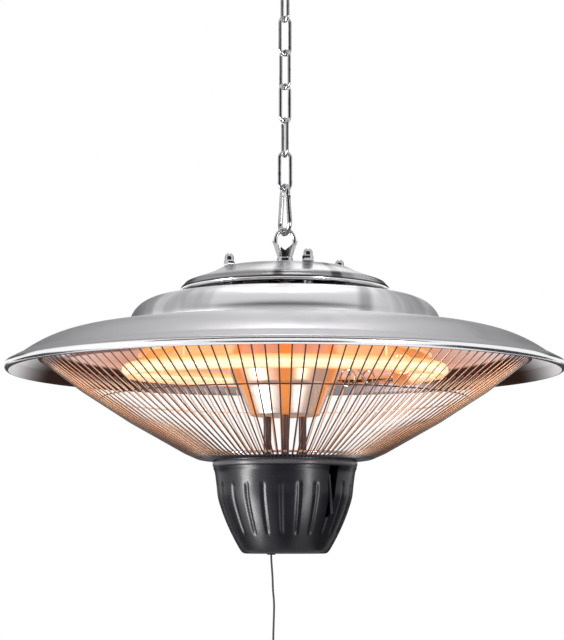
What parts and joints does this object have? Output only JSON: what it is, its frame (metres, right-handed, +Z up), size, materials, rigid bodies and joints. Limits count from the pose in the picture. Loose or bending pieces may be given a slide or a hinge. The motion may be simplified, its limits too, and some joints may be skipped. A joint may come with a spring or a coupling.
{
  "type": "hanging patio heater",
  "caption": "Ceiling-hung patio heater: chain and snap hook, stepped spun shade over a ring-shaped halogen tube, cone-shaped wire guard, tapered switch cup and pull cord.",
  "frame": {"origin": "centre of the ceiling plate's top face, where it meets the ceiling", "axes": "+Z up; the heater hangs along -Z; -Y faces the viewer of the picture"},
  "size_m": [0.4258, 0.4258, 0.6227],
  "materials": {
    "zinc_steel": "bright zinc plate",
    "chrome_steel": "polished",
    "spun_aluminium": "fine brushed, satin",
    "reflector_aluminium": "bright reflector sheet",
    "guard_steel": "nickel-plated wire",
    "quartz": "clear quartz, glowing cream-yellow",
    "tungsten": "glowing filament",
    "ceramic": "matt white",
    "dark_post": "dark brown",
    "charcoal_plastic": "satin charcoal",
    "black_plastic": "matt black",
    "cream_plastic": "moulded cream",
    "black_cord": "fine braided cord"
  },
  "bodies": {
    "ceiling": {"ceiling_plate": "zinc_steel", "ceiling_hook": "zinc_steel", "plate_screw_1": "zinc_steel", "plate_screw_2": "zinc_steel"},
    "link_1": {"chain_link_1": "zinc_steel"},
    "link_2": {"chain_link_2": "zinc_steel"},
    "link_3": {"chain_link_3": "zinc_steel"},
    "link_4": {"chain_link_4": "zinc_steel"},
    "link_5": {"chain_link_5": "zinc_steel"},
    "link_6": {"chain_link_6": "zinc_steel"},
    "snap_hook": {"snap_hook_body": "zinc_steel"},
    "gate": {"snap_hook_gate": "zinc_steel", "gate_pin": "chrome_steel"},
    "heater": {"eye_nut": "chrome_steel", "top_washer": "zinc_steel", "hanger_stud": "zinc_steel", "hanger_nut": "zinc_steel", "top_cap": "spun_aluminium", "acorn_nut_1": "chrome_steel", "acorn_nut_2": "chrome_steel", "acorn_nut_3": "chrome_steel", "acorn_nut_4": "chrome_steel", "cap_stud_1": "zinc_steel", "cap_stud_2": "zinc_steel", "cap_stud_3": "zinc_steel", "cap_stud_4": "zinc_steel", "cap_spacer_1": "zinc_steel", "cap_spacer_2": "zinc_steel", "cap_spacer_3": "zinc_steel", "cap_spacer_4": "zinc_steel", "shade": "spun_aluminium", "reflector_plate": "reflector_aluminium", "heating_tube": "quartz", "tube_filament": "tungsten", "tube_end_cap_1": "ceramic", "tube_end_cap_2": "ceramic", "tube_clip_1": "zinc_steel", "tube_clip_2": "zinc_steel", "tube_clip_3": "zinc_steel", "central_column": "spun_aluminium", "support_post_1": "dark_post", "support_post_2": "dark_post", "support_post_3": "dark_post", "wire_guard": "guard_steel", "guard_mid_ring": "guard_steel", "guard_bottom_ring": "chrome_steel", "guard_bracket_1": "zinc_steel", "guard_bracket_2": "zinc_steel", "guard_bracket_3": "zinc_steel", "cup_cover": "charcoal_plastic", "cup_housing": "charcoal_plastic", "cord_bushing": "black_plastic", "pull_switch": "cream_plastic", "terminal_block": "cream_plastic", "cable_gland": "black_plastic"},
    "pull": {"pull_cord": "black_cord", "pull_knob": "black_plastic", "switch_plunger": "ceramic"}
  },
  "joints": [
    {"name": "link_1_swing", "type": "hinge", "parent": "ceiling", "child": "link_1", "pos_m": [0, 0, -0.027], "axis": [0.866, 0.5, 0], "range_deg": [-45, 45]},
    {"name": "link_2_swing", "type": "hinge", "parent": "link_1", "child": "link_2", "pos_m": [0, 0, -0.0526], "axis": [0.5, -0.866, 0], "range_deg": [-45, 45]},
    {"name": "link_3_swing", "type": "hinge", "parent": "link_2", "child": "link_3", "pos_m": [0, 0, -0.0789], "axis": [-0.866, -0.5, 0], "range_deg": [-45, 45]},
    {"name": "link_4_swing", "type": "hinge", "parent": "link_3", "child": "link_4", "pos_m": [0, 0, -0.1052], "axis": [-0.7431, 0.6691, 0], "range_deg": [-45, 45]},
    {"name": "link_5_swing", "type": "hinge", "parent": "link_4", "child": "link_5", "pos_m": [0, 0, -0.1315], "axis": [0.7986, 0.6018, 0], "range_deg": [-45, 45]},
    {"name": "link_6_swing", "type": "hinge", "parent": "link_5", "child": "link_6", "pos_m": [0, 0, -0.1578], "axis": [0.3746, -0.9272, 0], "range_deg": [-45, 45]},
    {"name": "hook_swing", "type": "hinge", "parent": "link_6", "child": "snap_hook", "pos_m": [0, 0, -0.1841], "axis": [-0.9724, -0.2334, 0], "range_deg": [-45, 45]},
    {"name": "gate_open", "type": "hinge", "parent": "snap_hook", "child": "gate", "pos_m": [0.00233, -0.00478, -0.18984], "axis": [0.8988, 0.4384, 0], "range_deg": [0, 25], "stiffness_Nm_per_rad": 0.002},
    {"name": "heater_swing", "type": "hinge", "parent": "snap_hook", "child": "heater", "pos_m": [0, 0, -0.2181], "axis": [-0.4384, 0.8988, 0], "range_deg": [-45, 45]},
    {"name": "pull_switch_travel", "type": "slide", "parent": "heater", "child": "pull", "axis": [0, 0, -1], "range_m": [0, 0.01], "stiffness_N_per_m": 300}
  ]
}
